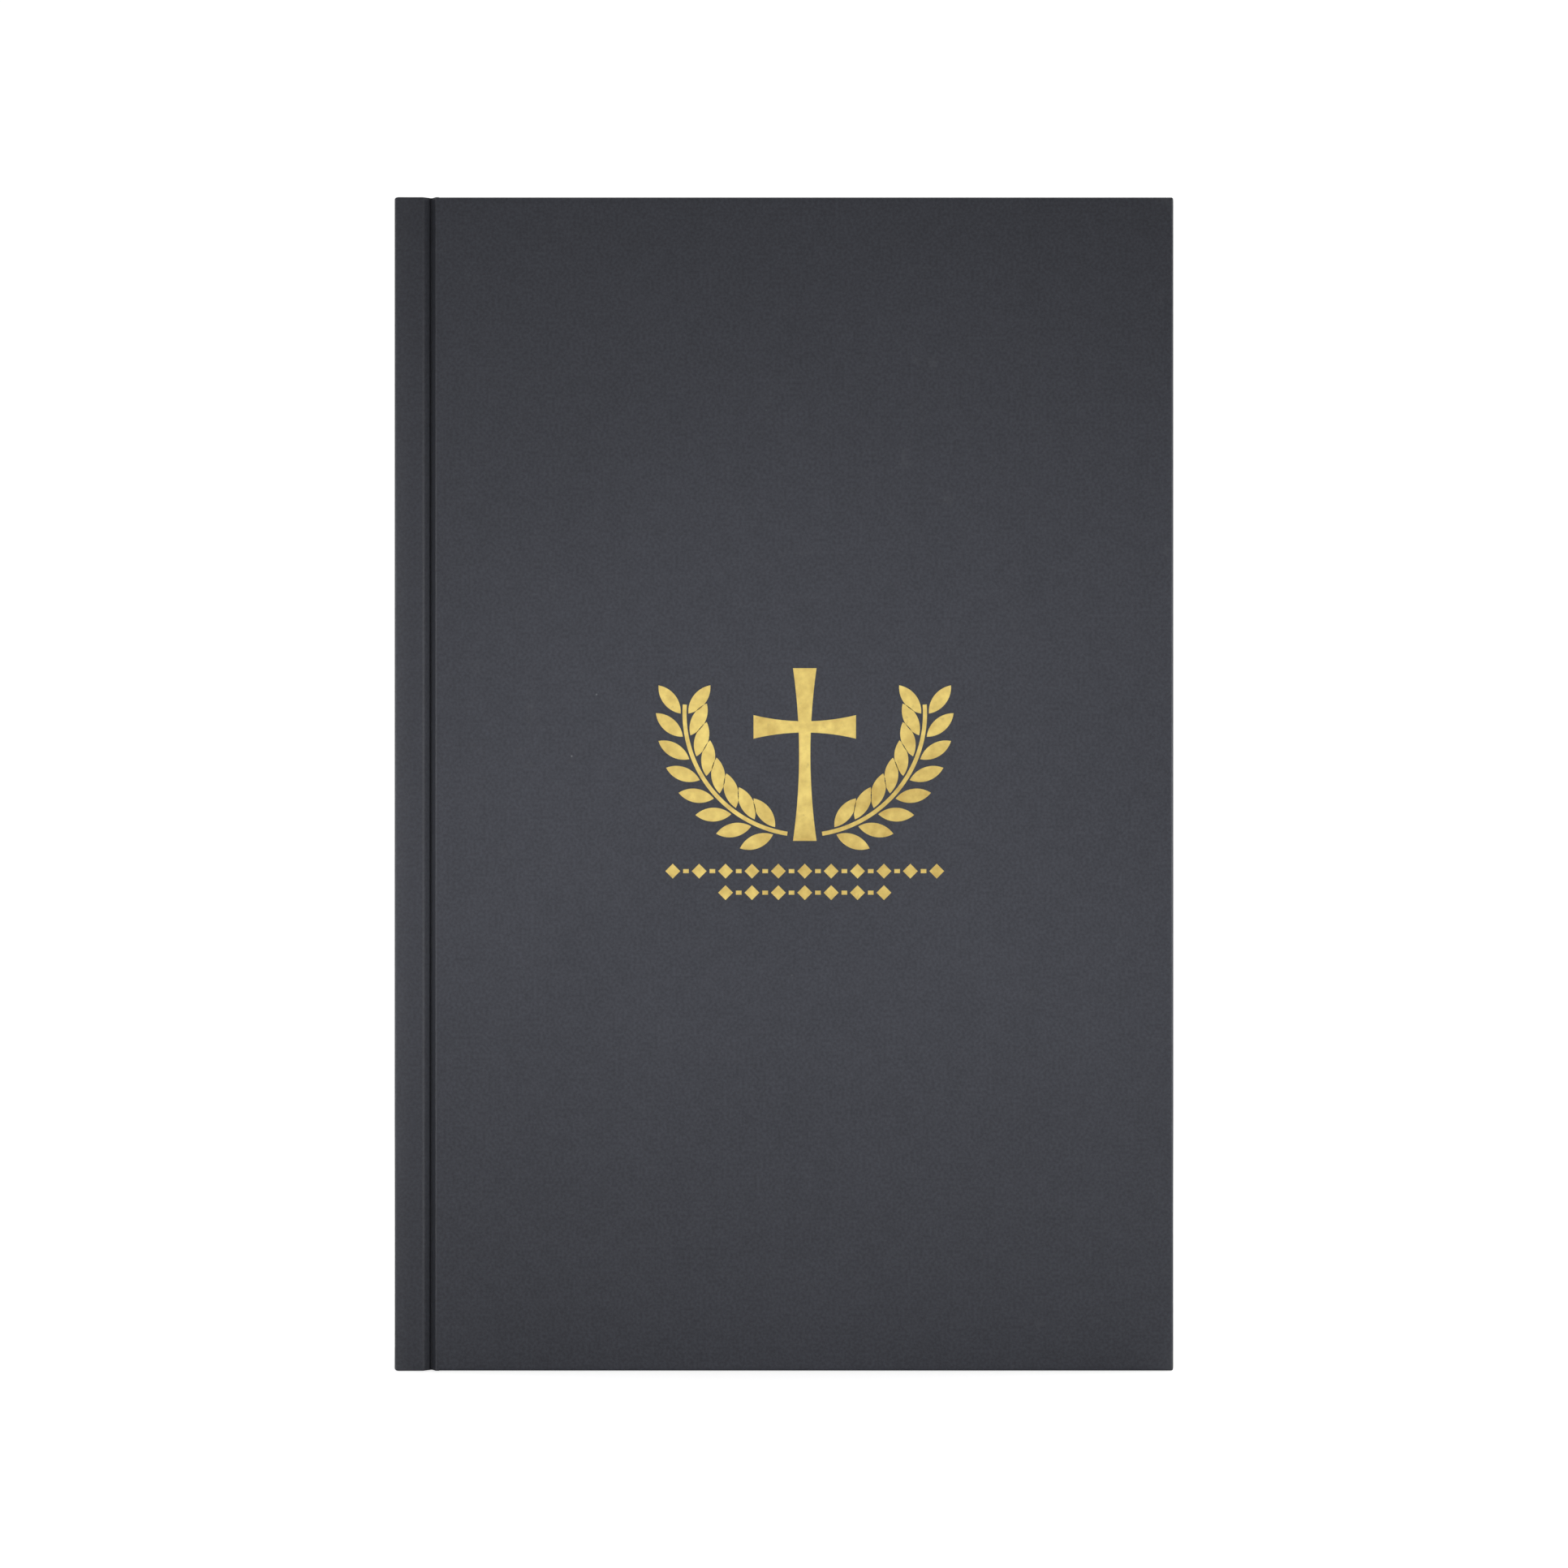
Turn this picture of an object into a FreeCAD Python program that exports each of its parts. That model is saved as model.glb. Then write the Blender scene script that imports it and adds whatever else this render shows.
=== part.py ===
import FreeCAD, Part
import math
import os

# A hardcover bible: a sewn book block in a square-backed case, standing upright on its tail edge.
# X runs from the spine (-X) to the fore-edge (+X), Y through the thickness with the front cover at -Y,
# and Z from tail to head. The origin is the middle of the footprint, on the surface the book stands on.
#
# Places are given as s, the distance from the spine's outer face; h, the depth below the outer face of
# the front or back cover; and z, the height above the tail edge.

# overall and sheet sizes, mm
WIDTH = 152.0             # spine's outer face to the boards' fore-edge
HEIGHT = 229.0            # tail to head of the boards
SIGNATURES = 36           # sewn gatherings of thin paper
SIGNATURE = 0.9           # thickness of one signature
TURNING = 6               # signatures on each side that turn with that cover
CLOTH = 0.3               # covering material
BOARD = 2.4               # grey board of both covers
SPINE_BOARD = 2.4         # stiff strip behind the spine
ENDPAPER = 0.2
MULL = 0.2                # open-weave cloth over the folds
LINING = 0.3              # kraft paper over the mull
LEAF_GAP = 0.05           # air between sheets that part from each other

# the case
SQUARE = 3.2              # boards stand beyond the leaves, head and tail
FORE_SQUARE = 3.5         # the same at the fore-edge
SPINE_HOLLOW = 0.8        # between spine board and lining, so the spine stays flat
TURN_IN = 15.0            # covering folded over onto the inside
EDGE_ROUND = 0.8          # covering round a board's outer edge
SPINE_ROUND = 1.0         # covering round the spine's edge
HINGE_AT = 6.9            # bottom of the joint groove, from the spine's outer face
HINGE_CLEARANCE = 0.15    # the hinge axis is this far outside the cover's face
GROOVE_FLOOR = (0.55, 0.4)    # flat floor of the groove, spine side and board side of the axis
GROOVE_WALL = (1.05, 0.8)     # run of its two walls
GROOVE_FOOT = (0.5, 0.3)      # radius at the foot of each wall
GROOVE_LIP = (1.0, 0.6)       # radius at the top of each wall

# inside the spine
MULL_MARGIN = 18.0        # mull stops short of head and tail
FLANGE = 25.0             # width of mull pasted to each board
LINING_MARGIN = 5.0
STATIONS = 9              # kerfs across the folds that the thread runs in
STATION_MARGIN = 12.0
KERF = 0.5
THREAD = 0.4              # diameter
BEAD = 1.8                # headband's diameter
BEAD_PROUD = 0.5          # its centre stands this far in front of the folds
BAND_TAPE = 12.0

# gold foil, pressed into the covering
FOIL = 0.06
DEBOSS = 0.04             # foil's face below the covering's face
CROSS = (20.0, 33.7)      # span of the arms and height
CROSS_ARMS_AT = 0.66      # height of the arms, as a share of the cross
CROSS_WAIST = 2.2
CROSS_TIP = 4.6
ORNAMENT_FOOT = 103.4     # height of the cross's foot above the tail
SPRAY_START = (3.4, 1.4)  # each spray's stem: foot, bend and tip, from the foot of the cross
SPRAY_BEND = (17.2, 8.8)
SPRAY_TIP = (23.4, 26.6)
SPRAY_STEM = 0.8
LEAF_PAIRS = 8
LEAF = (7.0, 2.7)         # length and width
LEAF_LEAN = 38.0          # degrees between leaf and stem
LEAF_CLEARANCE = 0.35     # between leaf and stem
LOZENGE = 2.9
LOZENGE_PITCH = 5.15
LOZENGE_BAR = (1.1, 0.8)
LOZENGE_ROWS = ((11, 97.5), (7, 93.3))    # count and height of each row
SPINE_CROSS = (9.0, 15.0)
SPINE_CROSS_WAIST = 1.3
SPINE_CROSS_TIP = 2.6
SPINE_CROSS_FOOT = 160.0
SPINE_RULE = (27.0, 0.8)
SPINE_RULES_AT = (20.0, 22.4)    # from head and from tail

# which cover, as the sign of y, and which wall of its groove
FRONT = -1
BACK = 1
SPINE_SIDE = 0
BOARD_SIDE = 1

# what follows from the sizes
BOARD_IN = CLOTH + BOARD
PASTEDOWN_IN = BOARD_IN + ENDPAPER
FLYLEAF_OUT = PASTEDOWN_IN + LEAF_GAP
FLYLEAF_IN = FLYLEAF_OUT + ENDPAPER
BLOCK_AT = FLYLEAF_IN + LEAF_GAP
BLOCK = SIGNATURES * SIGNATURE
THICKNESS = 2 * BLOCK_AT + BLOCK
SPINE_IN = CLOTH + SPINE_BOARD
LINING_AT = SPINE_IN + SPINE_HOLLOW
MULL_AT = LINING_AT + LINING
FOLDS_AT = MULL_AT + MULL
LEAF_END = WIDTH - FORE_SQUARE
LEAF_FOOT = SQUARE
LEAF_HEAD = HEIGHT - SQUARE
FLANGE_OUT = BOARD_IN - MULL
GROOVE_DEPTH = FLANGE_OUT - CLOTH
LIP_AT = HINGE_AT + GROOVE_FLOOR[BOARD_SIDE] + GROOVE_WALL[BOARD_SIDE]
BOARD_AT = LIP_AT + GROOVE_LIP[BOARD_SIDE]
FOIL_DEPTH = DEBOSS + FOIL


def place(s, h, side):
    """x and y of a point at distance s from the spine and depth h below a side's cover."""
    return s - WIDTH / 2, side * (THICKNESS / 2 - h)


def slab(side, s0, s1, h0, h1, z0, z1):
    """A box between two distances, two depths and two heights."""
    x, y = place(s0, h0, side)
    y = min(y, place(s0, h1, side)[1])
    return Part.makeBox(s1 - s0, h1 - h0, z1 - z0, FreeCAD.Vector(x, y, z0))


def unit(a, b):
    """The direction from a to b, and how far."""
    length = math.hypot(b[0] - a[0], b[1] - a[1])
    return (b[0] - a[0]) / length, (b[1] - a[1]) / length, length


def offset(line, distance):
    """The line beside a line of (s, h, radius) points, on its left, its bends on the same centres."""
    out = []
    for i, (s, h, radius) in enumerate(line):
        before = unit(line[max(i, 1) - 1], line[max(i, 1)])
        after = unit(line[min(i, len(line) - 2)], line[min(i, len(line) - 2) + 1])
        turn = before[0] * after[1] - before[1] * after[0]
        scale = distance / (1 + before[0] * after[0] + before[1] * after[1])
        s -= scale * (before[1] + after[1])
        h += scale * (before[0] + after[0])
        out.append((s, h, radius - distance * math.copysign(1, turn) if radius else 0))
    return out


def rounded(corners):
    """A closed wire through (x, y, radius) corners in the plane z = 0."""
    bends = []
    for i, (x, y, radius) in enumerate(corners):
        back = unit((x, y), corners[i - 1])
        on = unit((x, y), corners[(i + 1) % len(corners)])
        half = math.acos(back[0] * on[0] + back[1] * on[1]) / 2
        reach = radius / math.tan(half)
        middle = radius / math.sin(half) - radius
        across = unit((0, 0), (back[0] + on[0], back[1] + on[1])) if radius else (0, 0)
        bends.append((
            FreeCAD.Vector(x + back[0] * reach, y + back[1] * reach, 0),
            FreeCAD.Vector(x + across[0] * middle, y + across[1] * middle, 0),
            FreeCAD.Vector(x + on[0] * reach, y + on[1] * reach, 0),
        ))
    edges = []
    for i, (start, middle, end) in enumerate(bends):
        if corners[i][2]:
            edges.append(Part.Arc(start, middle, end).toShape())
        edges.append(Part.makeLine(end, bends[(i + 1) % len(bends)][0]))
    return Part.Wire(edges)


def prism(side, outline, z0, z1):
    """An upright solid whose plan is an outline of (s, h, radius) corners."""
    corners = [(*place(s, h, side), radius) for s, h, radius in outline]
    face = Part.Face(rounded(corners))
    face.translate(FreeCAD.Vector(0, 0, z0))
    return face.extrude(FreeCAD.Vector(0, 0, z1 - z0))


# ---- the case ----

def groove_line(wall, way):
    """The covering's outer line from the bottom of the groove up its spine or board side wall."""
    foot = HINGE_AT + way * GROOVE_FLOOR[wall]
    lip = foot + way * GROOVE_WALL[wall]
    return [
        (HINGE_AT, GROOVE_DEPTH, 0),
        (foot, GROOVE_DEPTH, GROOVE_FOOT[wall]),
        (lip, 0, GROOVE_LIP[wall]),
    ]


def board(side):
    """A grey board, thinner under the turn-ins, with a bed for the mull flange."""
    edge = EDGE_ROUND - CLOTH
    end = WIDTH - CLOTH
    rebate = BOARD_IN - CLOTH
    outline = [(BOARD_AT, CLOTH, 0), (end, CLOTH, edge), (end, rebate, 0), (BOARD_AT, rebate, 0)]
    body = prism(side, outline, CLOTH, HEIGHT - CLOTH)
    field = slab(side, BOARD_AT, WIDTH - TURN_IN, rebate, BOARD_IN, TURN_IN, HEIGHT - TURN_IN)
    return body.fuse(field).cut(flange(side)).removeSplitter()


def cover_cloth(side):
    """The covering of one board: from the bottom of the groove, over the face, round the edges and in."""
    line = groove_line(BOARD_SIDE, 1) + [(WIDTH, 0, EDGE_ROUND)]
    inner = offset(line, CLOTH)[:3]
    outline = line + [(WIDTH, BOARD_IN, CLOTH), (BOARD_AT, BOARD_IN, 0), (BOARD_AT, CLOTH, 0)]
    skin = prism(side, outline + inner[::-1], 0, HEIGHT)
    inside = prism(side, [
        (BOARD_AT, CLOTH, 0), (WIDTH - CLOTH, CLOTH, EDGE_ROUND - CLOTH),
        (WIDTH - CLOTH, BOARD_IN - CLOTH, 0), (BOARD_AT, BOARD_IN - CLOTH, 0),
    ], CLOTH, HEIGHT - CLOTH)
    field = slab(side, BOARD_AT, WIDTH - TURN_IN, BOARD_IN - CLOTH, BOARD_IN, TURN_IN, HEIGHT - TURN_IN)
    return skin.cut(inside).cut(field)


def spine_cloth():
    """The covering of the spine, from groove to groove, turned in over the spine board at head and tail."""
    line = groove_line(SPINE_SIDE, -1) + [(0, 0, SPINE_ROUND)]
    back = [(s, THICKNESS - h, radius) for s, h, radius in line[::-1]]
    skin_line = line + back
    skin = prism(FRONT, skin_line + offset(skin_line, -CLOTH)[::-1], 0, HEIGHT)
    for low, edge in ((0, CLOTH), (HEIGHT - TURN_IN, HEIGHT)):
        cap_low = edge - CLOTH
        cap = slab(FRONT, CLOTH, SPINE_IN, CLOTH, THICKNESS - CLOTH, cap_low, cap_low + CLOTH)
        inside = slab(FRONT, SPINE_IN, SPINE_IN + CLOTH, CLOTH, THICKNESS - CLOTH, low, low + TURN_IN)
        skin = skin.fuse(cap).fuse(inside)
    return skin.removeSplitter()


def spine_board():
    """The stiff strip that keeps the spine flat."""
    edge = SPINE_ROUND - CLOTH
    outline = [
        (CLOTH, CLOTH, edge), (CLOTH, THICKNESS - CLOTH, edge),
        (SPINE_IN, THICKNESS - CLOTH, 0), (SPINE_IN, CLOTH, 0),
    ]
    return prism(FRONT, outline, CLOTH, HEIGHT - CLOTH)


# ---- the endpapers and the spine's linings ----

def pastedown(side):
    return slab(side, HINGE_AT, LEAF_END, BOARD_IN, PASTEDOWN_IN, LEAF_FOOT, LEAF_HEAD)


def flyleaf(side):
    return slab(side, HINGE_AT, LEAF_END, FLYLEAF_OUT, FLYLEAF_IN, LEAF_FOOT, LEAF_HEAD)


def endpaper_fold(side):
    """The folded strip between pastedown and flyleaf that stays with the block."""
    fold_in = FOLDS_AT + ENDPAPER
    outer = [
        (HINGE_AT, BOARD_IN, 0), (FOLDS_AT, BOARD_IN, 0),
        (FOLDS_AT, FLYLEAF_IN, 0), (HINGE_AT, FLYLEAF_IN, 0),
    ]
    inner = [
        (HINGE_AT, FLYLEAF_OUT, 0), (fold_in, FLYLEAF_OUT, 0),
        (fold_in, PASTEDOWN_IN, 0), (HINGE_AT, PASTEDOWN_IN, 0),
    ]
    return prism(side, outer + inner, LEAF_FOOT, LEAF_HEAD)


def flange(side):
    """The mull pasted onto a board, under the pastedown."""
    return slab(side, HINGE_AT, BOARD_AT + FLANGE, FLANGE_OUT, BOARD_IN, MULL_MARGIN, HEIGHT - MULL_MARGIN)


def mull():
    """The mull over the folds, bent forward over both shoulders as far as the hinges."""
    foot = MULL_MARGIN
    head = HEIGHT - MULL_MARGIN
    back = slab(FRONT, MULL_AT, FOLDS_AT, FLANGE_OUT, THICKNESS - FLANGE_OUT, foot, head)
    shoulders = [slab(side, FOLDS_AT, HINGE_AT, FLANGE_OUT, BOARD_IN, foot, head) for side in (FRONT, BACK)]
    return back.fuse(shoulders).removeSplitter()


def lining():
    return slab(FRONT, LINING_AT, MULL_AT, BLOCK_AT, BLOCK_AT + BLOCK, LINING_MARGIN, HEIGHT - LINING_MARGIN)


def book_band(edge, way):
    """A headband at the head (way 1) or tail (way -1): a bead over the folds on a glued tape."""
    radius = BEAD / 2
    x, y = place(FOLDS_AT + BEAD_PROUD, BLOCK_AT, FRONT)
    axis = FreeCAD.Vector(0, 1, 0)
    bead = Part.makeCylinder(radius, BLOCK, FreeCAD.Vector(x, y, edge + way * radius), axis)
    low, high = sorted((edge + way * radius, edge - way * BAND_TAPE))
    tape = slab(FRONT, MULL_AT, FOLDS_AT, BLOCK_AT, BLOCK_AT + BLOCK, low, high)
    return bead.fuse(tape).removeSplitter()


# ---- the book block ----

def stations():
    """Heights of the sewing stations, evenly spaced between the kettle stitches."""
    low = LEAF_FOOT + STATION_MARGIN
    pitch = (LEAF_HEAD - STATION_MARGIN - low) / (STATIONS - 1)
    return [low + i * pitch for i in range(STATIONS)]


def depth_of(number):
    """Depth of a signature's outer face below the front cover's face, counting from 1."""
    return BLOCK_AT + (number - 1) * SIGNATURE


def gathering(number, end, gap):
    """A signature from its sewn folds, notched at the stations, to end; gap is the air beside it."""
    s0 = FOLDS_AT - WIDTH / 2
    s1 = end - WIDTH / 2
    y = place(0, depth_of(number), FRONT)[1]
    points = [(s1, LEAF_FOOT), (s1, LEAF_HEAD), (s0, LEAF_HEAD)]
    for z in reversed(stations()):
        top, bottom = z + KERF / 2, z - KERF / 2
        points += [(s0, top), (s0 + KERF, top), (s0 + KERF, bottom), (s0, bottom)]
    points.append((s0, LEAF_FOOT))
    wire = Part.makePolygon([FreeCAD.Vector(x, y, z) for x, z in points + points[:1]])
    return Part.Face(wire).extrude(FreeCAD.Vector(0, SIGNATURE - gap, 0))


def turning_leaves(number):
    """The part of a turning signature beyond the hinge, with air beside it on the block's side."""
    h0 = depth_of(number)
    if number > SIGNATURES / 2:
        h0 += LEAF_GAP
    return slab(FRONT, HINGE_AT, LEAF_END, h0, h0 + SIGNATURE - LEAF_GAP, LEAF_FOOT, LEAF_HEAD)


def bound_folds(numbers):
    """The sewn folds of the turning signatures, which stay in the spine."""
    return Part.Compound([gathering(number, HINGE_AT, LEAF_GAP) for number in numbers])


def thread():
    """The sewing thread, lying in the kerfs across the folds."""
    x, y = place(FOLDS_AT + THREAD / 2, BLOCK_AT, FRONT)
    axis = FreeCAD.Vector(0, 1, 0)
    runs = [Part.makeCylinder(THREAD / 2, BLOCK, FreeCAD.Vector(x, y, z), axis) for z in stations()]
    return Part.Compound(runs)


# ---- the foil ----
# Each ornament is drawn flat, as (u across, v up) from the middle of its foot, and pressed into a face.

def flat(u, v):
    return FreeCAD.Vector(u, 0, v)


def bar(length, waist, tip):
    """An upright bar centred on the origin, its sides curving out to its ends."""
    top = length / 2
    right = Part.Arc(flat(tip / 2, -top), flat(waist / 2, 0), flat(tip / 2, top)).toShape()
    left = Part.Arc(flat(-tip / 2, top), flat(-waist / 2, 0), flat(-tip / 2, -top)).toShape()
    ends = [Part.makeLine(flat(tip / 2, top), flat(-tip / 2, top)),
            Part.makeLine(flat(-tip / 2, -top), flat(tip / 2, -top))]
    return Part.Face(Part.Wire([right, ends[0], left, ends[1]]))


def latin_cross(size, waist, tip):
    """A plain cross with flared ends, standing on the origin."""
    span, height = size
    upright = bar(height, waist, tip)
    upright.translate(flat(0, height / 2))
    arms = bar(span, waist, tip)
    arms.rotate(flat(0, 0), FreeCAD.Vector(0, 1, 0), 90)
    arms.translate(flat(0, height * CROSS_ARMS_AT))
    return upright.fuse(arms).removeSplitter().Faces[0]


def leaf_at(foot, lean):
    """A pointed leaf from a point outwards, at an angle in degrees from +u."""
    length, width = LEAF
    tip = flat(length, 0)
    upper = Part.Arc(flat(0, 0), flat(length / 2, width / 2), tip).toShape()
    lower = Part.Arc(tip, flat(length / 2, -width / 2), flat(0, 0)).toShape()
    leaf = Part.Face(Part.Wire([upper, lower]))
    leaf.rotate(flat(0, 0), FreeCAD.Vector(0, -1, 0), lean)
    leaf.translate(foot)
    return leaf


def spray(hand):
    """A curved stem with pairs of leaves, to the right (hand 1) or left (hand -1) of the cross."""
    line = Part.ArcOfCircle(*[flat(hand * u, v) for u, v in (SPRAY_START, SPRAY_BEND, SPRAY_TIP)])
    first, last = line.FirstParameter, line.LastParameter
    spots = [line.value(p) for p in (first, (first + last) / 2, last)]
    inner = [beside(line.Center, spot, -SPRAY_STEM / 2) for spot in spots]
    outer = [beside(line.Center, spot, SPRAY_STEM / 2) for spot in spots[::-1]]
    sides = [Part.Arc(*inner).toShape(), Part.Arc(*outer).toShape()]
    caps = [Part.makeLine(inner[2], outer[0]), Part.makeLine(outer[2], inner[0])]
    faces = [Part.Face(Part.Wire([sides[0], caps[0], sides[1], caps[1]]))]
    for i in range(LEAF_PAIRS):
        at = first + (last - first) * (i + 0.6) / LEAF_PAIRS
        point = line.value(at)
        along = line.tangent(at)[0]
        heading = math.degrees(math.atan2(along.z, along.x))
        for way in (-1, 1):
            clear = SPRAY_STEM / 2 + LEAF_CLEARANCE
            normal = math.radians(heading + way * 90)
            foot = point + flat(clear * math.cos(normal), clear * math.sin(normal))
            faces.append(leaf_at(foot, heading + way * LEAF_LEAN))
    return faces


def beside(centre, point, distance):
    """A point moved outwards from a centre."""
    ray = point - centre
    return centre + ray * ((ray.Length + distance) / ray.Length)


def lozenge_row(count, height):
    """A row of lozenges with short bars between them."""
    faces = []
    for i in range(count):
        u = (i - (count - 1) / 2) * LOZENGE_PITCH
        ring = [flat(u + LOZENGE / 2, height), flat(u, height + LOZENGE / 2),
                flat(u - LOZENGE / 2, height), flat(u, height - LOZENGE / 2)]
        faces.append(Part.Face(Part.makePolygon(ring + ring[:1])))
        if i < count - 1:
            faces.append(rule(LOZENGE_BAR, u + LOZENGE_PITCH / 2, height))
    return faces


def rule(size, u, v):
    """A rectangle of foil centred on a point."""
    half_u, half_v = size[0] / 2, size[1] / 2
    ring = [flat(u + half_u, v - half_v), flat(u + half_u, v + half_v),
            flat(u - half_u, v + half_v), flat(u - half_u, v - half_v)]
    return Part.Face(Part.makePolygon(ring + ring[:1]))


def pressed(faces, depth, thickness):
    """Solids of a given thickness whose outer faces are at a depth below y = 0, facing -Y."""
    solids = []
    for face in faces:
        solid = face.extrude(FreeCAD.Vector(0, thickness, 0))
        solid.translate(FreeCAD.Vector(0, depth, 0))
        solids.append(solid)
    return Part.Compound(solids)


def on_front_cover(shape):
    """Moves a pressed ornament to the middle of the front board's face."""
    x, y = place((LIP_AT + WIDTH) / 2, 0, FRONT)
    shape.translate(FreeCAD.Vector(x, y, 0))
    return shape


def on_spine(shape):
    """Turns a pressed ornament to face -X and puts it on the spine."""
    shape.rotate(FreeCAD.Vector(0, 0, 0), FreeCAD.Vector(0, 0, 1), -90)
    shape.translate(FreeCAD.Vector(-WIDTH / 2, 0, 0))
    return shape


def cover_ornament():
    """Faces of the front cover's foil: a cross between two sprays, over two rows of lozenges."""
    middle = latin_cross(CROSS, CROSS_WAIST, CROSS_TIP)
    faces = [middle] + spray(1) + spray(-1)
    for face in faces:
        face.translate(flat(0, ORNAMENT_FOOT))
    for count, height in LOZENGE_ROWS:
        faces += lozenge_row(count, height)
    return faces


def spine_ornament():
    """Faces of the spine's foil: a small cross and two pairs of rules."""
    middle = latin_cross(SPINE_CROSS, SPINE_CROSS_WAIST, SPINE_CROSS_TIP)
    middle.translate(flat(0, SPINE_CROSS_FOOT))
    faces = [middle]
    for margin in SPINE_RULES_AT:
        faces += [rule(SPINE_RULE, 0, margin), rule(SPINE_RULE, 0, HEIGHT - margin)]
    return faces


# ---- all the pieces ----

front_turning = range(1, TURNING + 1)
back_turning = range(SIGNATURES - TURNING + 1, SIGNATURES + 1)
cover_press = on_front_cover(pressed(cover_ornament(), 0, FOIL_DEPTH))
spine_press = on_spine(pressed(spine_ornament(), 0, FOIL_DEPTH))

nodes = {
    "front_board": board(FRONT),
    "back_board": board(BACK),
    "spine_board": spine_board(),
    "front_cover_cloth": cover_cloth(FRONT).cut(cover_press),
    "back_cover_cloth": cover_cloth(BACK),
    "spine_cloth": spine_cloth().cut(spine_press),
    "cover_foil_ornament": on_front_cover(pressed(cover_ornament(), DEBOSS, FOIL)),
    "spine_foil_ornament": on_spine(pressed(spine_ornament(), DEBOSS, FOIL)),
    "front_pastedown": pastedown(FRONT),
    "back_pastedown": pastedown(BACK),
    "front_flyleaf": flyleaf(FRONT),
    "back_flyleaf": flyleaf(BACK),
    "front_endpaper_fold": endpaper_fold(FRONT),
    "back_endpaper_fold": endpaper_fold(BACK),
    "mull": mull(),
    "front_mull_flange": flange(FRONT),
    "back_mull_flange": flange(BACK),
    "spine_lining": lining(),
    "head_band": book_band(LEAF_HEAD, 1),
    "tail_band": book_band(LEAF_FOOT, -1),
    "sewing_thread": thread(),
    "bound_folds_front": bound_folds(front_turning),
    "bound_folds_back": bound_folds(back_turning),
}
for number in range(1, SIGNATURES + 1):
    turns = number in front_turning or number in back_turning
    nodes[f"signature_{number:02d}"] = turning_leaves(number) if turns else gathering(number, LEAF_END, 0)

hinge_x, hinge_y = place(HINGE_AT, -HINGE_CLEARANCE, BACK)
print(f"cover hinge axes run along Z at x {hinge_x:.3f}, y {hinge_y:.3f} and {-hinge_y:.3f} mm")

os.makedirs("parts", exist_ok=True)
for name, shape in nodes.items():
    shape.exportStep(f"parts/{name}.step")
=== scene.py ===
"""The looks of a hardcover bible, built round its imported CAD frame.

The row frame is in metres: +X from spine to fore-edge, the front cover at -Y, +Z from tail to head.
Shapes are worked out in millimetres from three distances: s from the spine's outer face, h below the outer
face of the front or back cover, and z above the tail edge. row() turns them into the row frame.
"""
import math
import random

import bmesh
import bpy
import numpy as np
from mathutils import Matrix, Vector


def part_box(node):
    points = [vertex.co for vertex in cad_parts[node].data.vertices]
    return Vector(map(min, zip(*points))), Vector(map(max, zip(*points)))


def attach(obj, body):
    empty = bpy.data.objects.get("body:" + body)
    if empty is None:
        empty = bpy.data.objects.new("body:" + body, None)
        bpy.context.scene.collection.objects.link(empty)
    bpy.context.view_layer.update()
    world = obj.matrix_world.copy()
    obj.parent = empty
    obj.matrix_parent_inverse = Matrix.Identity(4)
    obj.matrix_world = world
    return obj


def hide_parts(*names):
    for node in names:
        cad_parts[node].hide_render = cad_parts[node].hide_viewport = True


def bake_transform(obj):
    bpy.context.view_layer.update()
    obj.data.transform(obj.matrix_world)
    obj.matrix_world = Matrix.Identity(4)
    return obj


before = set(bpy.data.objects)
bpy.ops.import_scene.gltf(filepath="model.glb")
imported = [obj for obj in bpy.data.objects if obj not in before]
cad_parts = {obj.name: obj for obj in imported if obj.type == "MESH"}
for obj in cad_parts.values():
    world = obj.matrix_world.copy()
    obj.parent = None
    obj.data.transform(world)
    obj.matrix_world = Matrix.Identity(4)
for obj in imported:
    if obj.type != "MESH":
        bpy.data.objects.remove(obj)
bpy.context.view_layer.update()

MM = 0.001
FRONT = -1                # a cover's side, as the sign of y
BACK = 1
BLOCK = "book_block"      # the body that the spine and the fixed pages belong to
SIGNATURES = 36
TURNING = 6               # signatures next to each cover
LEAF_GROUPS = 6           # separate slices drawn in each signature


# ---- sizes read from the frame, in millimetres ----

def box_mm(node):
    """Lowest and highest corner of a CAD node."""
    low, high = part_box(node)
    return low / MM, high / MM


cloth_low, cloth_high = box_mm("front_cover_cloth")
spine_low, spine_high = box_mm("spine_cloth")
leaf_low, leaf_high = box_mm(f"signature_{TURNING + 1:02d}")
fly_low, fly_high = box_mm("front_flyleaf")

WIDTH = cloth_high.x - spine_low.x
HEIGHT = cloth_high.z
HALF = spine_high.y
BOARD_IN = cloth_high.y - cloth_low.y
HINGE_AT = cloth_low.x - spine_low.x
FOLDS_AT = leaf_low.x - spine_low.x
LEAF_END = leaf_high.x - spine_low.x
LEAF_FOOT = leaf_low.z
LEAF_HEAD = leaf_high.z
FLY_OUT = fly_low.y + HALF
FLY_IN = fly_high.y + HALF
PASTE_IN = box_mm("front_pastedown")[1].y + HALF
SPINE_IN = box_mm("spine_board")[1].x - spine_low.x

# ---- sizes of the covering ----

CLOTH = 0.3
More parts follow.
